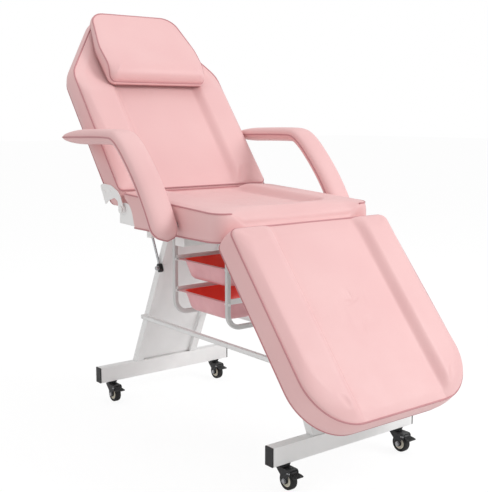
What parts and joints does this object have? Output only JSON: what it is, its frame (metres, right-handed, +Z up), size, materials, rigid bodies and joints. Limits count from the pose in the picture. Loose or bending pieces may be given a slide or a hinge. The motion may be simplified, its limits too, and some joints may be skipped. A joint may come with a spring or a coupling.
{
  "type": "facial treatment bed",
  "caption": "Three-section reclining treatment couch with padded arm rests, head pillow, pull-out trays below the seat and a welded base on braked casters.",
  "frame": {"origin": "on the floor, under the middle of the bed's bounding box", "axes": "+Z up, +Y towards the head end, +X towards the right-hand side of someone facing the head end"},
  "size_m": [0.744, 1.3856, 1.2699],
  "materials": {
    "pink_vinyl": "pale pink soft vinyl with a fine leather grain and piped seams",
    "tray_plastic": "pink moulded plastic, satin gloss",
    "white_paint": "white powder coat, semi-gloss",
    "black_plastic": "black moulded nylon, fine matte texture",
    "tyre": "black polyurethane tread on a cream hub",
    "plywood": "plain plywood with a dust cloth",
    "elastic": "woven elastic band",
    "bright_steel": "zinc-plated steel"
  },
  "bodies": {
    "base": {"front_foot_tube": "white_paint", "rear_foot_tube": "white_paint", "front_leg_frame": "white_paint", "rear_leg_frame": "white_paint", "front_leg_sheet": "white_paint", "rear_leg_sheet": "white_paint", "front_foot_cap_left": "black_plastic", "front_foot_cap_right": "black_plastic", "rear_foot_cap_left": "black_plastic", "rear_foot_cap_right": "black_plastic", "stretcher_left": "white_paint", "stretcher_right": "white_paint", "seat_frame": "white_paint", "seat_board": "plywood", "seat_cushion": "pink_vinyl", "leg_hinge_rod": "bright_steel", "seat_hinge_plate_left": "white_paint", "seat_hinge_plate_right": "white_paint", "back_hinge_pin_left": "bright_steel", "back_hinge_pin_right": "bright_steel", "arm_pivot_bolt_left": "bright_steel", "arm_pivot_bolt_right": "bright_steel", "rack_hoop_front": "white_paint", "rack_hoop_rear": "white_paint"},
    "back_rest": {"back_frame": "white_paint", "back_board": "plywood", "back_cushion": "pink_vinyl", "back_hinge_plate_left": "white_paint", "back_hinge_plate_right": "white_paint"},
    "headrest": {"headrest_pillow": "pink_vinyl", "headrest_strap": "elastic"},
    "leg_rest": {"leg_rest_frame": "white_paint", "leg_rest_board": "plywood", "leg_rest_cushion": "pink_vinyl"},
    "arm_left": {"arm_pad_left": "pink_vinyl"},
    "arm_right": {"arm_pad_right": "pink_vinyl"},
    "upper_tray": {"upper_tray": "tray_plastic"},
    "lower_tray": {"lower_tray": "tray_plastic"},
    "back_strut_left": {"back_strut_left": "bright_steel"},
    "back_strut_right": {"back_strut_right": "bright_steel"},
    "back_guide_left": {"back_strut_guide_left": "black_plastic"},
    "back_guide_right": {"back_strut_guide_right": "black_plastic"},
    "leg_strut_tube": {"leg_strut_tube": "black_plastic"},
    "leg_strut_rod": {"leg_strut_rod": "bright_steel"},
    "caster_front_left": {"caster_fork_front_left": "black_plastic", "caster_axle_front_left": "bright_steel"},
    "wheel_front_left": {"caster_wheel_front_left": "tyre"},
    "brake_front_left": {"caster_brake_front_left": "black_plastic"},
    "caster_front_right": {"caster_fork_front_right": "black_plastic", "caster_axle_front_right": "bright_steel"},
    "wheel_front_right": {"caster_wheel_front_right": "tyre"},
    "brake_front_right": {"caster_brake_front_right": "black_plastic"},
    "caster_rear_left": {"caster_fork_rear_left": "black_plastic", "caster_axle_rear_left": "bright_steel"},
    "wheel_rear_left": {"caster_wheel_rear_left": "tyre"},
    "brake_rear_left": {"caster_brake_rear_left": "black_plastic"},
    "caster_rear_right": {"caster_fork_rear_right": "black_plastic", "caster_axle_rear_right": "bright_steel"},
    "wheel_rear_right": {"caster_wheel_rear_right": "tyre"},
    "brake_rear_right": {"caster_brake_rear_right": "black_plastic"}
  },
  "joints": [
    {"name": "back_recline", "type": "hinge", "parent": "base", "child": "back_rest", "pos_m": [0, 0.19902, 0.655], "axis": [1, 0, 0], "range_deg": [-52, 3]},
    {"name": "headrest_slide", "type": "slide", "parent": "back_rest", "child": "headrest", "axis": [0, 0.6115, 0.7912], "range_m": [0, 0.05]},
    {"name": "leg_lift", "type": "hinge", "parent": "base", "child": "leg_rest", "pos_m": [0, -0.27998, 0.622], "axis": [1, 0, 0], "range_deg": [-50, 8]},
    {"name": "arm_left_swing", "type": "hinge", "parent": "base", "child": "arm_left", "pos_m": [-0.305, -0.09698, 0.638], "axis": [1, 0, 0], "range_deg": [-50, 10]},
    {"name": "arm_right_swing", "type": "hinge", "parent": "base", "child": "arm_right", "pos_m": [0.305, -0.09698, 0.638], "axis": [1, 0, 0], "range_deg": [-50, 10]},
    {"name": "upper_tray_slide", "type": "slide", "parent": "base", "child": "upper_tray", "axis": [-1, 0, 0], "range_m": [0, 0.2]},
    {"name": "lower_tray_slide", "type": "slide", "parent": "base", "child": "lower_tray", "axis": [-1, 0, 0], "range_m": [0, 0.2]},
    {"name": "back_strut_left_swing", "type": "hinge", "parent": "back_rest", "child": "back_strut_left", "pos_m": [-0.127, 0.39873, 0.82097], "axis": [1, 0, 0], "range_deg": [-3, 21]},
    {"name": "back_guide_left_turn", "type": "hinge", "parent": "base", "child": "back_guide_left", "pos_m": [-0.127, 0.23602, 0.459], "axis": [1, 0, 0], "range_deg": [-34, 4]},
    {"name": "back_strut_right_swing", "type": "hinge", "parent": "back_rest", "child": "back_strut_right", "pos_m": [0.127, 0.39873, 0.82097], "axis": [1, 0, 0], "range_deg": [-3, 21]},
    {"name": "back_guide_right_turn", "type": "hinge", "parent": "base", "child": "back_guide_right", "pos_m": [0.127, 0.23602, 0.459], "axis": [1, 0, 0], "range_deg": [-34, 4]},
    {"name": "leg_strut_tube_turn", "type": "hinge", "parent": "base", "child": "leg_strut_tube", "pos_m": [0.136, -0.18598, 0.545], "axis": [1, 0, 0], "range_deg": [-27, 6]},
    {"name": "leg_strut_rod_turn", "type": "hinge", "parent": "leg_rest", "child": "leg_strut_rod", "pos_m": [0.136, -0.33635, 0.51558], "axis": [1, 0, 0], "range_deg": [-6, 27]},
    {"name": "caster_front_left_swivel", "type": "hinge", "parent": "base", "child": "caster_front_left", "pos_m": [-0.208, -0.46298, 0.062], "axis": [0, 0, 1], "continuous": true},
    {"name": "wheel_front_left_roll", "type": "hinge", "parent": "caster_front_left", "child": "wheel_front_left", "pos_m": [-0.208, -0.48098, 0.025], "axis": [1, 0, 0], "continuous": true},
    {"name": "brake_front_left_press", "type": "hinge", "parent": "caster_front_left", "child": "brake_front_left", "pos_m": [-0.208, -0.49498, 0.051], "axis": [1, 0, 0], "range_deg": [0, 15]},
    {"name": "caster_front_right_swivel", "type": "hinge", "parent": "base", "child": "caster_front_right", "pos_m": [0.208, -0.46298, 0.062], "axis": [0, 0, 1], "continuous": true},
    {"name": "wheel_front_right_roll", "type": "hinge", "parent": "caster_front_right", "child": "wheel_front_right", "pos_m": [0.208, -0.48098, 0.025], "axis": [1, 0, 0], "continuous": true},
    {"name": "brake_front_right_press", "type": "hinge", "parent": "caster_front_right", "child": "brake_front_right", "pos_m": [0.208, -0.49498, 0.051], "axis": [1, 0, 0], "range_deg": [0, 15]},
    {"name": "caster_rear_left_swivel", "type": "hinge", "parent": "base", "child": "caster_rear_left", "pos_m": [-0.208, 0.41502, 0.062], "axis": [0, 0, 1], "continuous": true},
    {"name": "wheel_rear_left_roll", "type": "hinge", "parent": "caster_rear_left", "child": "wheel_rear_left", "pos_m": [-0.208, 0.39702, 0.025], "axis": [1, 0, 0], "continuous": true},
    {"name": "brake_rear_left_press", "type": "hinge", "parent": "caster_rear_left", "child": "brake_rear_left", "pos_m": [-0.208, 0.38302, 0.051], "axis": [1, 0, 0], "range_deg": [0, 15]},
    {"name": "caster_rear_right_swivel", "type": "hinge", "parent": "base", "child": "caster_rear_right", "pos_m": [0.208, 0.41502, 0.062], "axis": [0, 0, 1], "continuous": true},
    {"name": "wheel_rear_right_roll", "type": "hinge", "parent": "caster_rear_right", "child": "wheel_rear_right", "pos_m": [0.208, 0.39702, 0.025], "axis": [1, 0, 0], "continuous": true},
    {"name": "brake_rear_right_press", "type": "hinge", "parent": "caster_rear_right", "child": "brake_rear_right", "pos_m": [0.208, 0.38302, 0.051], "axis": [1, 0, 0], "range_deg": [0, 15]}
  ],
  "couplings": [
    {"joint": "back_strut_left_swing", "follows": "back_recline", "ratio": -0.38},
    {"joint": "back_guide_left_turn", "follows": "back_recline", "ratio": 0.62},
    {"joint": "back_strut_right_swing", "follows": "back_recline", "ratio": -0.38},
    {"joint": "back_guide_right_turn", "follows": "back_recline", "ratio": 0.62},
    {"joint": "leg_strut_tube_turn", "follows": "leg_lift", "ratio": 0.495},
    {"joint": "leg_strut_rod_turn", "follows": "leg_lift", "ratio": -0.505}
  ]
}
